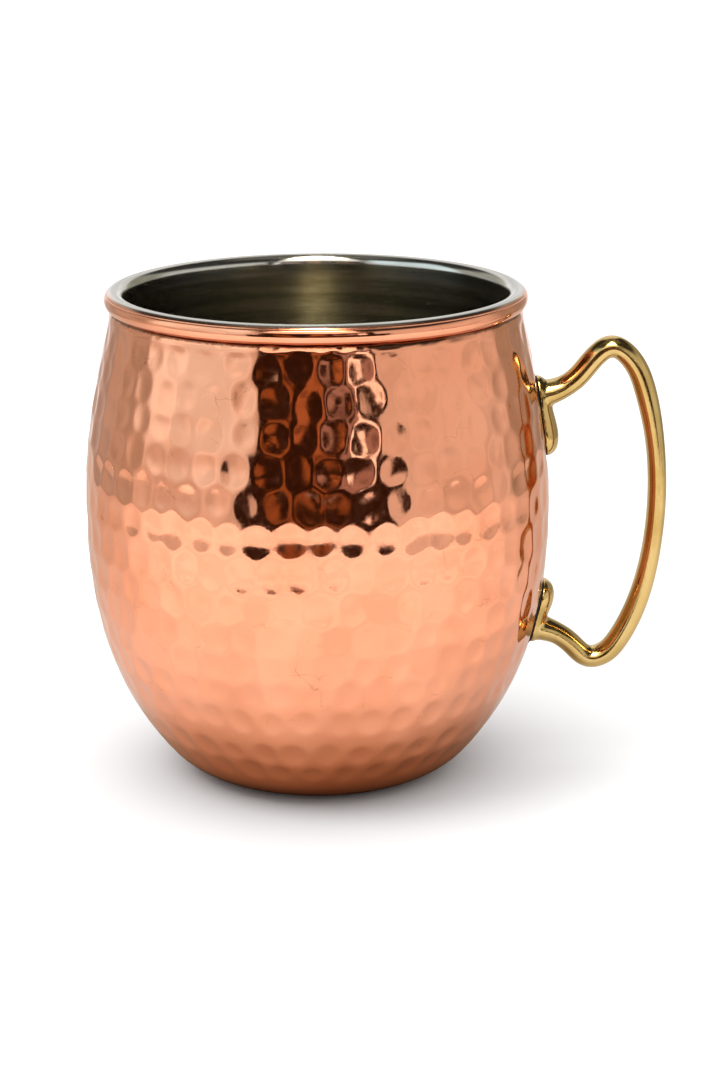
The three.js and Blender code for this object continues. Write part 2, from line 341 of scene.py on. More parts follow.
def wall_at(along, offset=0.0):
    """(radius, height) of the wall at distances along its outline, moved out along the normal."""
    point = [np.interp(along, WALL_ALONG, WALL_LINE[:, k]) for k in (0, 1)]
    normal = [np.interp(along, WALL_ALONG, WALL_NORMAL[:, k]) for k in (0, 1)]
    return point[0] + offset * normal[0], point[1] + offset * normal[1]


def along_at_height(height):
    """Distance along the outline at which the wall has this height."""
    side = WALL_ALONG > BASE_FLAT_RADIUS
    return float(np.interp(height, WALL_LINE[side, 1], WALL_ALONG[side]))


def revolved(profile, around):
    """Rings of points: the profile's (radius, height) rows turned about +Z."""
    angles = np.linspace(0, 2 * math.pi, around, endpoint=False)
    radius, height = np.asarray(profile, float).T
    return np.stack((
        np.outer(radius, np.cos(angles)),
        np.outer(radius, np.sin(angles)),
        np.repeat(height[:, None], around, 1),
    ), -1)


# ---- Feet of the handle ----

def seat_frame(foot):
    """A foot's seat in the XZ plane: its root end, direction to its tip, outward normal and length."""
    root = np.array(wall_at(along_at_height(foot["root"]), foot["root_off"]))
    tip = np.array(wall_at(along_at_height(foot["tip"]), foot["tip_off"]))
    length = np.linalg.norm(tip - root)
    axis = (tip - root) / length
    normal = np.array((axis[1], -axis[0]))
    return root, axis, normal * np.sign(normal[0]), length


def on_seat(foot, along, across, out):
    """Points over a foot's seat: along it from its root, across it along +Y, and out from it."""
    root, axis, normal, _ = seat_frame(foot)
    along, across, out = np.broadcast_arrays(along, across, out)
    return np.stack((
        root[0] + axis[0] * along + normal[0] * out,
        across,
        root[1] + axis[1] * along + normal[1] * out,
    ), -1)


def foot_half_width(u):
    """Half the width of a foot at a part u of its length, before its ends are rounded."""
    return lerp(FOOT_ROOT["half_width"], FOOT_BULB["half_width"], smoothstep(u, *FOOT_SWELL))


def foot_rounding(turn):
    """How full a foot is from its root (turn 0) to its tip (half a turn), with blunt round ends."""
    return np.sqrt(1 - np.abs(np.cos(turn)) ** FOOT_BLUNTNESS)


def foot_mesh(foot):
    """A drop on the seat: sections of growing width from the root, closed to a point at both ends."""
    length = seat_frame(foot)[-1]
    turn = np.linspace(0, math.pi, 42)[1:-1]
    u = (1 - np.cos(turn)) / 2
    rounding = foot_rounding(turn)
    rise = lerp(FOOT_ROOT["rise"], FOOT_BULB["rise"], smoothstep(u, *FOOT_SWELL)) - GASKET_HALF
    around = np.linspace(0, 2 * math.pi, 40, endpoint=False)
    rings = on_seat(
        foot,
        length * u[:, None],
        np.outer(rounding * foot_half_width(u), np.cos(around)),
        GASKET_HALF + np.outer(rounding * rise, np.sin(around)),
    )
    mesh = grid_mesh("foot", rings, on_seat(foot, 0, 0, GASKET_HALF), on_seat(foot, length, 0, GASKET_HALF))
    facing_out(mesh)
    return mesh


def foot_outline(foot, margin, steps=96):
    """Closed outline of a foot on its seat, as (along, across) rows."""
    length = seat_frame(foot)[-1]
    turn = np.linspace(0, 2 * math.pi, steps, endpoint=False)
    u = (1 - np.cos(turn)) / 2
    width = np.sign(np.sin(turn)) * foot_rounding(turn) * (foot_half_width(u) + margin)
    return np.column_stack((lerp(-margin, length + margin, u), width))


def screw_place(foot):
    """Distance of a foot's screw from the seat's root end."""
    root, axis, _, _ = seat_frame(foot)
    return abs(foot["screw"] - root[1]) / abs(axis[1])


def block_behind(foot):
    """A block that fills the space behind a foot's back, for cutting the casting to its seat."""
    length = seat_frame(foot)[-1]
    margin = 6
    side = 9
    corners = [(-margin, -side), (-margin, side), (length + margin, side), (length + margin, -side)]
    rings = [[on_seat(foot, x, y, out) for x, y in corners] for out in (-side, GASKET_HALF)]
    middle = length / 2
    mesh = grid_mesh("block", rings, on_seat(foot, middle, 0, -side), on_seat(foot, middle, 0, GASKET_HALF))
    facing_out(mesh)
    return mesh


def bar_mesh(name, foot, radius, inside, outside, sides=48):
    """A round bar through a foot's seat where its screw goes, between two distances out from the seat."""
    ends = [on_seat(foot, screw_place(foot), 0, out) for out in (inside, outside)]
    beside = np.array((0, 1, 0))
    upward = np.cross(ends[1] - ends[0], beside) / (outside - inside)
    turn = np.linspace(0, 2 * math.pi, sides, endpoint=False)
    ring = radius * (np.outer(np.cos(turn), beside) + np.outer(np.sin(turn), upward))
    mesh = grid_mesh(name, [ring + end for end in ends], *ends)
    facing_out(mesh)
    return mesh


# ---- Copper shell ----

def hammer_marks(along, angle):
    """How far hammering moves the wall at a grid of distances along it and angles round it (never out)."""
    draw = random.Random(SEED)
    pressed = np.zeros((len(along), len(angle)))
    step = angle[1] - angle[0]
    for centre in MARK_ROWS:
        radius, _ = wall_at(centre)
        low = float(1 - smoothstep(centre, *LOW_ROWS_END))
        pitch = lerp(MARK_PITCH, LOW_PITCH, low)
        count = round(2 * math.pi * radius / pitch)
        start = draw.random()
        loose = float(smoothstep(centre, *LOOSE_ROWS))
        depth_change = (1 - LOOSE_CHANGE * loose) * (1 + LOW_DEEPER * low)
        ball_change = 1 + LOOSE_CHANGE * loose
        for mark in range(count):
            mark_along = centre + draw.uniform(-ALONG_SPREAD, ALONG_SPREAD) * (1 + 2 * loose)
            shift = draw.uniform(-PITCH_SPREAD, PITCH_SPREAD) * (1 + loose)
            mark_angle = 2 * math.pi * (mark + start + shift) / count
            depth = MARK_DEPTH * draw.uniform(*DEPTH_SPREAD) * depth_change
            ball = lerp(BALL_RADIUS, LOW_BALL, low) * draw.uniform(*BALL_SPREAD) * ball_change
            stretch = draw.uniform(*STRETCH_SPREAD)
            near = np.nonzero(np.abs(along - mark_along) < MARK_REACH)[0]
            columns = np.arange(-MARK_COLUMNS, MARK_COLUMNS + 1) + round(mark_angle / step)
            columns %= len(angle)
            down = along[near][:, None] - mark_along
            turn = (angle[columns] - mark_angle + math.pi) % (2 * math.pi) - math.pi
            over = radius * turn[None, :]
            hollow = (
                over ** 2 / 2 * (stretch / ball + 1 / radius)
                + down ** 2 / 2 * (1 / stretch / ball + 1 / WALL_BOW)
                - depth
            )
            pressed[np.ix_(near, columns)] += np.exp(np.clip(-hollow / MARK_EDGE, -STEEPEST, STEEPEST))
    return -MARK_EDGE * np.log1p(pressed)


def with_seats(along, angle, offset, inside=0.0):
    """Presses the two feet's flat seats into a skin of the wall, with soft shoulders."""
    radius, height = wall_at(along)
    around = (angle + math.pi) % (2 * math.pi) - math.pi
    across = radius[:, None] * around
    for foot in FEET.values():
        root, axis, normal, length = seat_frame(foot)
        x = radius[:, None] * np.cos(around) - root[0]
        z = height[:, None] - root[1]
        to_seat = x * normal[0] + z * normal[1] + GASKET_HALF + inside
        down = np.abs(x * axis[0] + z * axis[1] - length / 2) / (length / 2 + GASKET_MARGIN)
        over = np.abs(across) / (FOOT_BULB["half_width"] + GASKET_MARGIN)
        reach = (down ** SEAT_SQUARENESS + over ** SEAT_SQUARENESS) ** (1 / SEAT_SQUARENESS)
        seat = 1 - smoothstep(reach, *SEAT_SHOULDER)
        seat[:, np.abs(around) > math.pi / 4] = 0
        offset = lerp(offset, np.minimum(-to_seat, offset), seat)
    return offset


def unevenness(along, angle):
    """Slow, shallow waves left in the wall by planishing."""
    radius, height = wall_at(along)
    heights = [
        [noise_at(Vector((r * c, r * s, z)) / UNEVEN_SIZE) for c, s in zip(np.cos(angle), np.sin(angle))]
        for r, z in zip(radius, height)
    ]
    return UNEVEN_DEPTH * (np.array(heights) - 0.5)


def skin(along, angle, offset):
    """Points of the wall at a grid of distances along it and angles round it, each moved out by an offset."""
    radius, height = wall_at(along[:, None], offset)
    return np.stack((radius * np.cos(angle), radius * np.sin(angle), height), -1)


def crease(along, angle):
    """How deep the wall dips just under the rim, with a ragged upper edge."""
    draw = random.Random(SEED)
    teeth = [draw.uniform(*CREASE_RAGGED) for _ in range(CREASE_TEETH)]
    edge = WALL_LENGTH - np.interp(angle, np.linspace(0, 2 * math.pi, CREASE_TEETH), teeth)
    start, end = CREASE_SLOPE
    return CREASE_DEPTH * smoothstep(along[:, None], edge + start, edge + end)


def hammered_side(angle):
    """Outside of the shell, from the middle of the base up to the rim."""
    flat = np.array((4, 9, 14, 17.5))
    corner = np.arange(BASE_FLAT_RADIUS, SMOOTH_BASE, CORNER_ROW)
    side = np.linspace(SMOOTH_BASE, WALL_LENGTH, round((WALL_LENGTH - SMOOTH_BASE) / SHELL_ROW))
    along = np.concatenate((flat, corner, side))
    above_base = smoothstep(along, SMOOTH_BASE - 1, SMOOTH_BASE + 2)
    below_neck = 1 - smoothstep(along, SMOOTH_NECK - 1.5, SMOOTH_NECK)
    hammered = above_base * below_neck
    worked = hammer_marks(along, angle) + unevenness(along, angle)
    offset = with_seats(along, angle, worked * hammered[:, None])
    return skin(along, angle, offset - crease(along, angle))


def hidden_side(angle):
    """Inside of the sheet, from the rim down to the base, with finer rows behind the two feet."""
    behind_upper = np.arange(119, 90, -HIDDEN_ROW)
    behind_lower = np.arange(76, 50, -HIDDEN_ROW)
    along = np.array((128, 123, *behind_upper, 84, 78, *behind_lower, 44, 36, 28, 19, 8))
    plain = np.full((len(along), len(angle)), -COPPER_SHEET)
    return skin(along, angle, with_seats(along, angle, plain, COPPER_SHEET))


def copper_shell():
    """Outer shell: hammered wall, rolled rim and the plain inside of the sheet, as one closed surface."""
    angle = np.linspace(0, 2 * math.pi, SHELL_AROUND, endpoint=False)
    hidden = BEAD_RADIUS - STEEL_SHEET - CLEARANCE
    shown_inside = BEAD_RADIUS - COPPER_SHEET
    seam = RIM_SEAM - math.radians(0.5)
    rim = np.vstack((
        arc(BEAD_CENTRE, hidden - COPPER_SHEET, math.pi, seam, 5),
        arc(BEAD_CENTRE, shown_inside, seam, CURL_END, 5),
        arc(BEAD_CENTRE, BEAD_RADIUS, CURL_END, seam, 14),
        arc(BEAD_CENTRE, hidden, seam, math.pi, 5),
    ))
    rings = np.vstack((hammered_side(angle), revolved(rim, SHELL_AROUND), hidden_side(angle)))
    mesh = grid_mesh("hammered_shell", rings, (0, 0, 0), (0, 0, COPPER_SHEET))
    facing_out(mesh)
    return new_object("hammered_shell", mesh)


# ---- Steel liner ----

def steel_liner():
    """Inner cup, with a flange turned over the top of the bead."""
    flat = np.arange(3, BASE_FLAT_RADIUS, 4)
    inside = np.concatenate((flat, np.linspace(BASE_FLAT_RADIUS, WALL_LENGTH, 90)))
    outside = np.concatenate(((6, 14), np.linspace(BASE_FLAT_RADIUS, WALL_LENGTH, 30)))
    profile = np.vstack((
        np.column_stack(wall_at(outside, LINER_OUTSIDE)),
        arc(BEAD_CENTRE, BEAD_RADIUS - STEEL_SHEET, math.pi, RIM_SEAM, 10),
        arc(BEAD_CENTRE, BEAD_RADIUS, RIM_SEAM, math.pi, 22),
        np.column_stack(wall_at(inside[::-1], LINER_INSIDE)),
    ))
    poles = (0, 0, -LINER_OUTSIDE), (0, 0, -LINER_INSIDE)
    mesh = grid_mesh("brushed_cup", revolved(profile, LINER_AROUND), *poles)
    facing_out(mesh)
    return new_object("brushed_cup", mesh)


# ---- Brass handle ----

def rod_mesh():
    """The handle's rod: oval sections along its line."""
    line, tangent = spline(HANDLE_LINE, 240)
    u = np.linspace(0, 1, len(line))

    def between(ends):
        return smoothstep(u, *ends[0]) * (1 - smoothstep(u, *ends[1]))

    grip = between(GRIP_ENDS)
    flare = 1 + ARM_FLARE * (1 - between(FLARE_ENDS))
    depth = flare * lerp(ARM_HALF_DEPTH, GRIP_HALF_DEPTH, grip)
    outward = np.column_stack((-tangent[:, 1], tangent[:, 0]))
    turn = np.linspace(0, 2 * math.pi, 36, endpoint=False)
    reach = depth[:, None] * np.sin(turn)
    rings = np.stack((
        line[:, 0:1] + outward[:, 0:1] * reach,
        np.outer(flare * ROD_HALF_WIDTH, np.cos(turn)),
        line[:, 1:2] + outward[:, 1:2] * reach,
    ), -1)
    start, end = ((x, 0, z) for x, z in (line[0], line[-1]))
    mesh = grid_mesh("rod", rings, start, end)
    facing_out(mesh)
    return mesh


def brass_handle():
    """One casting: rod and feet run together with soft fillets, flat behind and drilled for the screws."""
    parts = []
    for mesh in (rod_mesh(), *map(foot_mesh, FEET.values())):
        part = new_object("part", mesh)
        cut(part, *map(block_behind, FEET.values()))
        parts.append(part.data)
        bpy.data.objects.remove(part)
    casting = new_object("cast_handle", joined("cast_handle", parts))
    remesh = casting.modifiers.new("remesh", "REMESH")
    remesh.mode = "VOXEL"
    remesh.voxel_size = HANDLE_VOXEL * MM
    soften = casting.modifiers.new("soften", "SMOOTH")
    soften.factor = 0.5
    soften.iterations = HANDLE_SMOOTHING
    settle(casting)
    cut(casting, *(bar_mesh("drill", foot, SCREW_RADIUS, DRILL_START, SCREW_DEPTH) for foot in FEET.values()))
    return casting


# ---- Gaskets ----

def gasket(place, foot):
    """Thin black pad between a foot and its seat, with a hole for the screw and a rounded edge."""
    screw = np.array((screw_place(foot), 0))
    outline = foot_outline(foot, GASKET_MARGIN)
    toward = outline - screw
    hole = screw + (SCREW_RADIUS + CLEARANCE) * toward / np.linalg.norm(toward, axis=1)[:, None]
    bulge = 0.02
    edge = [(1 + bulge * math.cos(a), GASKET_HALF * math.sin(a)) for a in np.linspace(-1.2, 1.2, 7)]
    face = (0, 0.5, 0.95)
    section = [*((reach, -GASKET_HALF) for reach in face), *edge]
    section += [(reach, GASKET_HALF) for reach in reversed(face)]
    rings = []
    for reach, out in section:
        ring = lerp(hole, outline, reach)
        rings.append(on_seat(foot, ring[:, 0], ring[:, 1], out))
    mesh = grid_mesh(f"foot_gasket_{place}", rings, loop=True)
    facing_out(mesh)
    return new_object(f"foot_gasket_{place}", mesh)


# ---- Screws and washers ----

def placed_on_seat(mesh, foot):
    """Moves a mesh made along +X, with its origin on the seat, to where a foot's screw goes."""
    start = Vector(on_seat(foot, screw_place(foot), 0, 0))
    lean = Vector(on_seat(foot, screw_place(foot), 0, 1)) - start
    mesh.transform(Matrix.Translation(start * MM) @ Matrix.Rotation(-math.atan2(lean.z, lean.x), 4, "Y"))
    return mesh


def lathe_along_x(name, profile, around, radius_at=None):
    """Rings about +X from (along, radius) rows; radius_at may change the radius by place and angle."""
    turn = np.linspace(0, 2 * math.pi, around, endpoint=False)
    rings = []
    for along, radius in profile:
        here = radius_at(along, radius, turn) if radius_at else radius + 0 * turn
        rings.append(np.column_stack((along + 0 * turn, here * np.cos(turn), here * np.sin(turn))))
    mesh = grid_mesh(name, rings, (profile[0][0], 0, 0), (profile[-1][0], 0, 0))
    facing_out(mesh)
    return mesh


def handle_screw(place, foot):
    """Low slotted screw, threaded from the wall into the foot."""
    under_head = -(GASKET_HALF + COPPER_SHEET + WASHER_THICKNESS)
    head_top = under_head - SCREW_HEAD_HEIGHT
    tip = SCREW_DEPTH - CLEARANCE
    bevel = SCREW_RADIUS / 4
    thread_start = GASKET_HALF

    def thread(along, radius, turn):
        if radius > SCREW_RADIUS or not thread_start < along < tip - bevel:
            return radius + 0 * turn
        phase = (along / THREAD_PITCH - turn / (2 * math.pi)) % 1
        return radius - THREAD_DEPTH * 2 * np.abs(phase - 0.5)

    shank = [(x, SCREW_RADIUS) for x in np.arange(under_head, tip - bevel, THREAD_PITCH / 8)]
    profile = [
        (head_top, SCREW_HEAD_RADIUS - bevel),
        (head_top + bevel / 3, SCREW_HEAD_RADIUS - bevel / 3),
        (head_top + bevel, SCREW_HEAD_RADIUS),
        (under_head, SCREW_HEAD_RADIUS),
        *shank,
        (tip - bevel, SCREW_RADIUS - THREAD_DEPTH),
        (tip, SCREW_RADIUS - bevel - THREAD_DEPTH),
    ]
    screw = new_object(f"slotted_screw_{place}", lathe_along_x("screw", profile, 48, thread))
    half = Vector((SLOT_DEPTH, 2 * SCREW_HEAD_RADIUS, SLOT_WIDTH / 2))
    slot = bmesh.new()
    place_slot = Matrix.Translation((head_top * MM, 0, 0)) @ Matrix.Diagonal((*half * MM, 1))
    bmesh.ops.create_cube(slot, size=2, matrix=place_slot)
    cutter = bpy.data.meshes.new("slot")
    slot.to_mesh(cutter)
    slot.free()
    cut(screw, cutter)
    placed_on_seat(screw.data, foot)
    return screw


def backing_washer(place, foot):
    """Round washer on the back of the copper, with rounded edges."""
    outside = -GASKET_HALF - COPPER_SHEET
    inside = outside - WASHER_THICKNESS
    bevel = WASHER_THICKNESS / 4
    hole = SCREW_RADIUS + CLEARANCE
    section = [
        (hole, inside + bevel),
        (hole + bevel, inside),
        (WASHER_RADIUS - bevel, inside),
        (WASHER_RADIUS, inside + bevel),
        (WASHER_RADIUS, outside - bevel),
        (WASHER_RADIUS - bevel, outside),
        (hole + bevel, outside),
        (hole, outside - bevel),
    ]
    turn = np.linspace(0, 2 * math.pi, 64, endpoint=False)
    middle = screw_place(foot)
    rings = [
        on_seat(foot, middle + radius * np.sin(turn), radius * np.cos(turn), out) for radius, out in section
    ]
    mesh = grid_mesh(f"backing_washer_{place}", rings, loop=True)
    facing_out(mesh)
    return new_object(f"pressed_washer_{place}", mesh)


# ---- Materials ----

def add_node(tree, kind, inputs=None, **settings):
    """A node with its settings and inputs: values are set on the sockets and sockets are linked."""
    node = tree.nodes.new(kind)
    for name, value in settings.items():
        setattr(node, name, value)
    for name, value in (inputs or {}).items():
        if isinstance(value, bpy.types.NodeSocket):
            tree.links.new(value, node.inputs[name])
        else:
            node.inputs[name].default_value = value
    return node


def new_material(name):
    """An empty node material: its tree, its shader and its object coordinates."""
    material = bpy.data.materials.new(name)
    material.use_nodes = True
    tree = material.node_tree
    shader = tree.nodes["Principled BSDF"]
    place = add_node(tree, "ShaderNodeTexCoord").outputs["Object"]
    return material, tree, shader, place


def noise(tree, place, size, detail=3.0, roughness=0.5):
    """Even noise with features of about one size in millimetres."""
    inputs = {"Vector": place, "Scale": 1 / (size * MM), "Detail": detail, "Roughness": roughness}
    return add_node(tree, "ShaderNodeTexNoise", inputs).outputs["Fac"]


def ranged(tree, value, low, high, to_low=0.0, to_high=1.0):
    """A smooth change from one value to another while the input goes from low to high."""
    inputs = {"Value": value, "From Min": low, "From Max": high, "To Min": to_low, "To Max": to_high}
    return add_node(tree, "ShaderNodeMapRange", inputs, interpolation_type="SMOOTHSTEP").outputs["Result"]


def maths(tree, operation, a, b=0.0):
    """One sum of two values or sockets."""
    return add_node(tree, "ShaderNodeMath", {0: a, 1: b}, operation=operation).outputs[0]


def vector_maths(tree, operation, inputs):
    return add_node(tree, "ShaderNodeVectorMath", inputs, operation=operation).outputs[0]


def mixed(tree, factor, a, b):
    """Colour a where the factor is 0, and colour b where it is 1."""
    return add_node(tree, "ShaderNodeMix", {0: factor, 6: a, 7: b}, data_type="RGBA").outputs[2]


def bump(tree, height, depth, normal=None):
    """Bump of one depth in millimetres."""
    inputs = {"Height": height, "Distance": depth * MM, "Strength": 1.0}
    if normal:
        inputs["Normal"] = normal
    return add_node(tree, "ShaderNodeBump", inputs).outputs["Normal"]


COPPER = (0.94, 0.39, 0.225, 1)
COPPER_DEEP = (0.90, 0.35, 0.19, 1)
# Painted shade: the dark colour of the ragged line in the crease under the bead.
COPPER_CREASE_SHADE = (0.28, 0.11, 0.055, 1)
STEEL = (0.56, 0.535, 0.48, 1)
STEEL_INSIDE = (0.60, 0.56, 0.46, 1)
STEEL_INSIDE_DEEP = (0.29, 0.262, 0.185, 1)
BRASS = (0.69, 0.475, 0.185, 1)
BRASS_DEEP = (0.55, 0.355, 0.11, 1)
RUBBER = (0.008, 0.007, 0.006, 1)
RUBBER_DUSTY = (0.02, 0.017, 0.014, 1)
ZINC = (0.62, 0.62, 0.6, 1)
ZINC_DULL = (0.5, 0.5, 0.46, 1)


def copper_colour(tree, place):
    """Copper with slow patches of a deeper colour."""
    patches = ranged(tree, noise(tree, place, 14, 4), 0.35, 0.7)
    return mixed(tree, patches, COPPER, COPPER_DEEP)


def hairlines(tree, place):
    """Short, faint cracks in the lacquer: broken stretches of a wandering net of lines."""
    net_size = 9
    wander_size = 3
    wander_by = 4
    strongest = 0.36
    inputs = {"Vector": place, "Scale": 1 / (wander_size * MM), "Detail": 4.0}
    wander = add_node(tree, "ShaderNodeTexNoise", inputs).outputs["Color"]
    drift = vector_maths(tree, "SCALE", {0: wander, "Scale": wander_by * MM})
    bent = vector_maths(tree, "ADD", {0: place, 1: drift})
    inputs = {"Vector": bent, "Scale": 1 / (net_size * MM)}
    net = add_node(tree, "ShaderNodeTexVoronoi", inputs, feature="DISTANCE_TO_EDGE")
    on_line = ranged(tree, net.outputs["Distance"], 0.003, 0.010, 1, 0)
    stretches = ranged(tree, noise(tree, place, 7, 3), 0.52, 0.68, 0, strongest)
    return maths(tree, "MULTIPLY", on_line, stretches)


def copper_material():
    """Lacquered hammered copper: patches of colour, faint cracks, rubbed gloss and painted shade in the
    crease under the bead.
    """
    material, tree, shader, place = new_material("hammered copper")
    height = add_node(tree, "ShaderNodeSeparateXYZ", {0: place}).outputs["Z"]
    # Painted shade: a dark ragged line just under the bead, where the crease is.
    ragged = maths(tree, "ADD", height, maths(tree, "MULTIPLY", noise(tree, place, 0.7, 4), 0.5 * MM))
    under_bead = (BEAD_CENTRE[1] - BEAD_RADIUS) * MM
    from_below = ranged(tree, ragged, under_bead - 0.35 * MM, under_bead)
    from_above = ranged(tree, height, under_bead + 0.1 * MM, under_bead + 0.4 * MM, 1, 0)
    crease_shade = maths(tree, "MULTIPLY", from_below, from_above)
    dark = maths(tree, "MAXIMUM", crease_shade, hairlines(tree, place))
    tree.links.new(mixed(tree, dark, copper_colour(tree, place), COPPER_CREASE_SHADE), shader.inputs["Base Color"])
    shader.inputs["Metallic"].default_value = 1
    rubbed = ranged(tree, noise(tree, place, 1.1, 6, 0.65), 0.3, 0.75, 0.05, 0.13)
    specks = ranged(tree, noise(tree, place, 0.22, 2), 0.6, 0.75, 0, 0.06)
    tree.links.new(maths(tree, "ADD", rubbed, specks), shader.inputs["Roughness"])
    grain = bump(tree, noise(tree, place, 0.5, 4), 0.0015)
    waves = bump(tree, noise(tree, place, 2.6, 2), 0.012, grain)
    tree.links.new(waves, shader.inputs["Normal"])
    return material


def steel_material():
    """Steel brushed in fine rings, polished over the bead, and washed with copper at the flange's edge."""
    material, tree, shader, place = new_material("brushed steel cup")
    axes = add_node(tree, "ShaderNodeSeparateXYZ", {0: place}).outputs
    around = maths(tree, "ARCTAN2", axes["Y"], axes["X"])
    squares = [maths(tree, "MULTIPLY", axes[name], axes[name]) for name in ("X", "Y")]
    radius = maths(tree, "SQRT", maths(tree, "ADD", *squares))
    stretched = add_node(tree, "ShaderNodeCombineXYZ", {
        "X": maths(tree, "MULTIPLY", around, 1.5 * MM),
        "Y": maths(tree, "MULTIPLY", radius, 0.5),
        "Z": axes["Z"],
    }).outputs[0]
    lines = noise(tree, stretched, 0.16, 4, 0.7)
    broad = noise(tree, stretched, 2.2, 3)
    on_side = ranged(tree, axes["Z"], (BEAD_CENTRE[1] - 2.5) * MM, (BEAD_CENTRE[1] - 0.5) * MM, 1, 0)
    lines_share = 0.6
    shares = maths(tree, "MULTIPLY", lines, lines_share), maths(tree, "MULTIPLY", broad, 1 - lines_share)
    streaks = maths(tree, "ADD", *shares)
    inside = mixed(tree, ranged(tree, streaks, 0.41, 0.59), STEEL_INSIDE, STEEL_INSIDE_DEEP)
    steel = mixed(tree, on_side, STEEL, inside)

    out = maths(tree, "SUBTRACT", radius, BEAD_CENTRE[0] * MM)
    up = maths(tree, "SUBTRACT", axes["Z"], BEAD_CENTRE[1] * MM)
    turn = maths(tree, "ARCTAN2", up, out)
    near_seam = ranged(tree, turn, RIM_SEAM + 0.08, RIM_SEAM + 0.45, 1, 0)
    washed = maths(tree, "MULTIPLY", near_seam, maths(tree, "GREATER_THAN", up, 0.0))
    tree.links.new(mixed(tree, washed, steel, copper_colour(tree, place)), shader.inputs["Base Color"])
    shader.inputs["Metallic"].default_value = 1
    shader.inputs["Anisotropic"].default_value = 0.85
    shader.inputs["Anisotropic Rotation"].default_value = 0.25
    ringed = add_node(tree, "ShaderNodeTangent", direction_type="RADIAL", axis="Z").outputs[0]
    tree.links.new(ringed, shader.inputs["Tangent"])
    brushed = ranged(tree, lines, 0.25, 0.75, 0.16, 0.28)
    gloss = add_node(tree, "ShaderNodeMix", {0: on_side, 2: 0.14, 3: brushed}).outputs[0]
    tree.links.new(gloss, shader.inputs["Roughness"])
    depth = maths(tree, "MULTIPLY", lines, on_side)
    tree.links.new(bump(tree, depth, 0.015), shader.inputs["Normal"])
    return material


def brass_material():
    """Cast and polished brass with a satin grain along the grip and darker colour in patches."""
    material, tree, shader, place = new_material("cast brass")
    patches = ranged(tree, noise(tree, place, 9, 4), 0.35, 0.75)
    tree.links.new(mixed(tree, patches, BRASS, BRASS_DEEP), shader.inputs["Base Color"])
    shader.inputs["Metallic"].default_value = 1
    stretch = add_node(tree, "ShaderNodeMapping", {"Vector": place, "Scale": (1, 1, 0.12)}).outputs[0]
    lines = noise(tree, stretch, 0.25, 4, 0.65)
    tree.links.new(ranged(tree, lines, 0.3, 0.75, 0.10, 0.22), shader.inputs["Roughness"])
    grain = bump(tree, lines, 0.003)
    tree.links.new(bump(tree, noise(tree, place, 2.2, 2), 0.012, grain), shader.inputs["Normal"])
    return material


def gasket_material():
    """Black rubber with a faint grain."""
    material, tree, shader, place = new_material("black gasket")
    dusty = ranged(tree, noise(tree, place, 1.2, 4), 0.4, 0.8)
    tree.links.new(mixed(tree, dusty, RUBBER, RUBBER_DUSTY), shader.inputs["Base Color"])
    tree.links.new(ranged(tree, noise(tree, place, 0.6, 3), 0.3, 0.7, 0.5, 0.7), shader.inputs["Roughness"])
    tree.links.new(bump(tree, noise(tree, place, 0.2, 2), 0.01), shader.inputs["Normal"])
    return material


def fixing_material():
    """Zinc-plated steel, slightly blotched."""
    material, tree, shader, place = new_material("plated steel")
    blotches = ranged(tree, noise(tree, place, 1.5, 4), 0.35, 0.7)
    tree.links.new(mixed(tree, blotches, ZINC, ZINC_DULL), shader.inputs["Base Color"])
    shader.inputs["Metallic"].default_value = 1
    tree.links.new(ranged(tree, noise(tree, place, 0.4, 3), 0.3, 0.7, 0.25, 0.42), shader.inputs["Roughness"])
    return material


# ---- The pieces ----

shell = copper_shell()
cut(shell, *(bar_mesh("hole", foot, SCREW_RADIUS + CLEARANCE, *SHELL_HOLE) for foot in FEET.values()))
finish_piece(shell, copper_material(), "copper_shell")
finish_piece(steel_liner(), steel_material(), "steel_liner")
finish_piece(brass_handle(), brass_material(), "brass_handle")

black = gasket_material()
plated = fixing_material()
for place, foot in FEET.items():
    finish_piece(gasket(place, foot), black, f"handle_gasket_{place}")
    finish_piece(backing_washer(place, foot), plated, f"backing_washer_{place}")
    finish_piece(handle_screw(place, foot), plated, f"handle_screw_{place}")


# ---- Floor ----

# Gloss sees the floor with painted light and shade: a warm painted shadow right under the mug, painted shade
# towards the back, and a gentle mottle of painted light.
# Distances are in metres.
CONTACT_SHADE = (0.008, 0.059)
CONTACT_LIGHT = 0.17
FRONT_TO_BACK = (-0.11, 0.14)
GREEN_POWER = 1.6  # the shade under the mug is warm: green and blue fall off faster than red
BLUE_POWER = 2.3
PAPER = (0.92, 0.92, 0.92, 1)
PAPER_FAINT = (0.9, 0.9, 0.9, 1)
# Painted light: the darker side of the floor's mottle, seen only by gloss.
MOTTLED_LIGHT = (0.80, 0.79, 0.78, 1)
# Painted shade: the floor towards the back, as gloss sees it.
BACK_SHADE = (0.46, 0.43, 0.38, 1)
# Painted shade: gloss sees the floor this dim in what the mug throws back onto it, and partly this dim after
# two reflections.
DIM_FLOOR_SHADE = (0.20, 0.20, 0.20, 1)  # what the mug throws back onto the floor of the floor itself
SHADE_AFTER_TWO = 0.6  # how dull the floor is after two reflections, as between the handle and the wall
BRIGHT_FLOOR = 0.36  # gloss sees the floor only this far out, and the room beyond it
FAR_FLOOR = 9.0


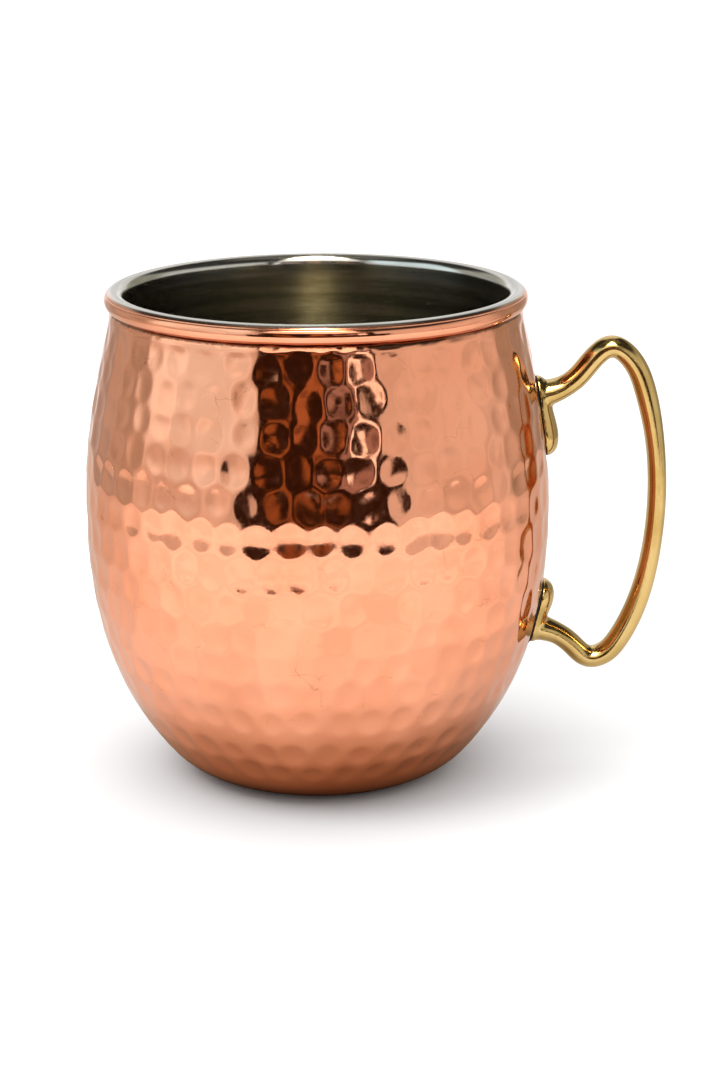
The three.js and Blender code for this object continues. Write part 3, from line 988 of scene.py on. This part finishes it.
def floor_material():
    """Plain pale paper to the camera; to gloss, the floor with the painted shadow, shade and mottled light
    described above.
    """
    material, tree, shader, place = new_material("pale floor")
    faint = ranged(tree, noise(tree, place, 300, 2), 0.3, 0.7)
    paper = mixed(tree, faint, PAPER, PAPER_FAINT)
    axes = add_node(tree, "ShaderNodeSeparateXYZ", {0: place}).outputs
    from_mug = add_node(tree, "ShaderNodeVectorMath", {0: place}, operation="LENGTH").outputs["Value"]
    # Painted shadow under the mug, warm because green and blue fall off faster than red.
    light = ranged(tree, from_mug, *CONTACT_SHADE, CONTACT_LIGHT, 1)
    warm = add_node(tree, "ShaderNodeCombineColor", {
        "Red": light,
        "Green": maths(tree, "POWER", light, GREEN_POWER),
        "Blue": maths(tree, "POWER", light, BLUE_POWER),
    }).outputs[0]
    mottled = mixed(tree, ranged(tree, noise(tree, place, 55, 2), 0.38, 0.62), paper, MOTTLED_LIGHT)
    plain = mixed(tree, ranged(tree, axes["Y"], *FRONT_TO_BACK), mottled, BACK_SHADE)
    shaded = vector_maths(tree, "MULTIPLY", {0: plain, 1: warm})

    ray = add_node(tree, "ShaderNodeLightPath").outputs
    # Painted shade: the floor is dimmed for light thrown back off the mug and after two reflections.
    from_floor = maths(tree, "GREATER_THAN", ray["Diffuse Depth"], 0.5)
    thrown = maths(tree, "MULTIPLY", ray["Is Glossy Ray"], from_floor)
    twice = maths(tree, "GREATER_THAN", ray["Glossy Depth"], 1.5)
    in_gloss = mixed(tree, ray["Is Glossy Ray"], paper, shaded)
    in_gloss = mixed(tree, maths(tree, "MULTIPLY", twice, SHADE_AFTER_TWO), in_gloss, DIM_FLOOR_SHADE)
    tree.links.new(mixed(tree, thrown, in_gloss, DIM_FLOOR_SHADE), shader.inputs["Base Color"])
    shader.inputs["Roughness"].default_value = 1
    shader.inputs["Specular IOR Level"].default_value = 0
    return material


def floor_ring(name, inner, outer, material):
    """A flat ring of floor, or a disc when the inner radius is zero."""
    rings = [(inner, 0), (outer, 0)] if inner else [(outer / 2, 0), (outer, 0)]
    centre = None if inner else (0, 0, 0)
    mesh = grid_mesh(name, revolved(rings, 96) / MM, centre)
    mesh.materials.append(material)
    ring = new_object(name, mesh)
    return ring


pale = floor_material()
floor_ring("floor_near", 0, BRIGHT_FLOOR, pale)
far = floor_ring("floor_far", BRIGHT_FLOOR, FAR_FLOOR, pale)
far.visible_glossy = False


# ---- Light ----

# What gloss sees of the studio, painted one over the other. Azimuth from the -Y side towards +X and
# elevation, both in degrees as (from, to, softness), and a colour.
THROWN_BACK = 0.15  # how much of the studio the mug throws back onto the floor
WALL_COLOUR = (0.80, 0.81, 0.80, 1)
CORNER_COLOUR = (0.03, 0.014, 0.007, 1)
CLOUDS = (0.84, 1.1)  # darkest and brightest of the slow unevenness of the studio
SKY_LIGHT = (0.35, 1.9)  # white light on the floor from the horizon, and from SKY_TOP degrees and above
SKY_TOP = 65
PANELS = (
    ("dim wall, left", (-200, -100, 10), (-95, 30, 10), (0.52, 0.52, 0.48, 1)),
    ("dim wall, right", (112, 200, 14), (-95, 30, 10), (0.42, 0.41, 0.34, 1)),
    ("ceiling", (-200, 200, 1), (29, 95, 6), (0.05, 0.05, 0.045, 1)),
    ("overhead light", (-200, 200, 1), (64, 95, 6), (0.2, 0.19, 0.17, 1)),
    ("white backdrop, left half", (-200, -158, 5), (-95, 55, 10), (1.0, 1.0, 1.0, 1)),
    ("white backdrop, right half", (158, 200, 5), (-95, 55, 10), (1.0, 1.0, 1.0, 1)),
    ("window, left", (-98, -37, 5), (0, 44, 7), (1.08, 1.3, 1.4, 1)),
    ("white panel over the camera", (-30, 24, 3), (26, 50, 4), (1.7, 1.65, 1.6, 1)),
    ("lamp over the camera", (-25, 22, 4), (52, 90, 5), (21, 20, 17, 1)),
)
DARK_CORNER = ((-31, 31, 1), (-95, 27, 3))
DARK_TABLE = ((-37, 39, 1), (-95, 4, 2))
CORNER = (
    ("wooden stand", (-22, -13, 1), (-95, 16, 2), (0.32, 0.14, 0.05, 1)),
    ("warm edge of the table", (-20, 20, 3), (-95, -3, 2), (0.26, 0.11, 0.04, 1)),
    ("hands", (-3, 5, 1), (2, 22, 2), (0.42, 0.19, 0.08, 1)),
    ("grey coat", (9, 21, 1), (1, 32, 2), (0.42, 0.32, 0.30, 1)),
    ("strip of window", (22, 26.5, 0.6), (-2, 28, 2), (1.7, 1.7, 1.7, 1)),
)


def studio_world():
    """White light from above for the floor, a white background, and a studio with a dark corner for gloss."""
    world = bpy.data.worlds.new("studio")
    bpy.context.scene.world = world
    world.use_nodes = True
    world.cycles.sampling_method = "NONE"
    tree = world.node_tree
    tree.nodes.clear()
    direction = add_node(tree, "ShaderNodeTexCoord").outputs["Generated"]
    axes = add_node(tree, "ShaderNodeSeparateXYZ", {0: direction}).outputs
    azimuth = maths(tree, "ARCTAN2", axes["X"], maths(tree, "MULTIPLY", axes["Y"], -1.0))
    elevation = maths(tree, "ARCSINE", axes["Z"])

    def band(value, low, high, soft):
        low, high, soft = (math.radians(v) for v in (low, high, soft))
        rise = ranged(tree, value, low - soft, low + soft)
        return maths(tree, "MULTIPLY", rise, ranged(tree, value, high - soft, high + soft, 1, 0))

    def patch(azimuths, elevations):
        return maths(tree, "MULTIPLY", band(azimuth, *azimuths), band(elevation, *elevations))

    def uneven(scale, detail, *limits):
        inputs = {"Vector": direction, "Scale": scale, "Detail": detail}
        return ranged(tree, add_node(tree, "ShaderNodeTexNoise", inputs).outputs["Fac"], *limits)

    colour = WALL_COLOUR
    for _, azimuths, elevations, panel in PANELS:
        colour = mixed(tree, patch(azimuths, elevations), colour, panel)
    colour = vector_maths(tree, "SCALE", {0: colour, "Scale": uneven(3.0, 2.0, 0.36, 0.64, *CLOUDS)})
    corner = CORNER_COLOUR
    for _, azimuths, elevations, panel in CORNER:
        corner = mixed(tree, patch(azimuths, elevations), corner, panel)
    corner = mixed(tree, uneven(9.0, 3.0, 0.42, 0.6), corner, CORNER_COLOUR)
    dark = maths(tree, "MAXIMUM", patch(*DARK_CORNER), patch(*DARK_TABLE))
    colour = mixed(tree, dark, colour, corner)

    def background(colour, strength):
        return add_node(tree, "ShaderNodeBackground", {"Color": colour, "Strength": strength}).outputs[0]

    def choice(ray_kind, otherwise, shader):
        return add_node(tree, "ShaderNodeMixShader", {0: ray[ray_kind], 1: otherwise, 2: shader}).outputs[0]

    white = (1, 1, 1, 1)
    ray = add_node(tree, "ShaderNodeLightPath").outputs
    lighting = background(white, ranged(tree, elevation, 0.0, math.radians(SKY_TOP), *SKY_LIGHT))
    plain = choice("Is Camera Ray", lighting, background(white, 1.0))
    from_floor = maths(tree, "GREATER_THAN", ray["Diffuse Depth"], 0.5)
    studio = background(colour, ranged(tree, from_floor, 0, 1, 1, THROWN_BACK))
    add_node(tree, "ShaderNodeOutputWorld", {"Surface": choice("Is Glossy Ray", plain, studio)})


def soft_light(name, place, size, power):
    """A large area light aimed at the mug that gloss doesn't see."""
    light = bpy.data.lights.new(name, "AREA")
    light.shape = "DISK"
    light.size = size
    light.energy = power
    obj = new_object(name, light)
    obj.location = place
    obj.rotation_mode = "QUATERNION"
    obj.rotation_quaternion = (Vector((0, 0, 0.05)) - Vector(place)).to_track_quat("-Z", "Y")
    obj.visible_glossy = False
    obj.visible_camera = False


studio_world()
soft_light("key", place=(-0.8, -0.5, 1.3), size=0.8, power=6)


# ---- Camera ----

CAMERA_PLACE = (0, -0.507342, 0.191119)
CAMERA_PITCH = math.radians(15.7828)
CAMERA_YAW = math.radians(0.97348)
CAMERA_ROLL = math.radians(0.22505)

camera = bpy.data.cameras.new("camera")
camera.lens = 85
camera.sensor_width = 36
view = new_object("camera", camera)
view.matrix_world = (
    Matrix.Translation(CAMERA_PLACE)
    @ Matrix.Rotation(-CAMERA_YAW, 4, "Z")
    @ Matrix.Rotation(math.pi / 2 - CAMERA_PITCH, 4, "X")
    @ Matrix.Rotation(-CAMERA_ROLL, 4, "Z")
)
bpy.context.scene.camera = view
bpy.context.scene.view_settings.view_transform = "Standard"
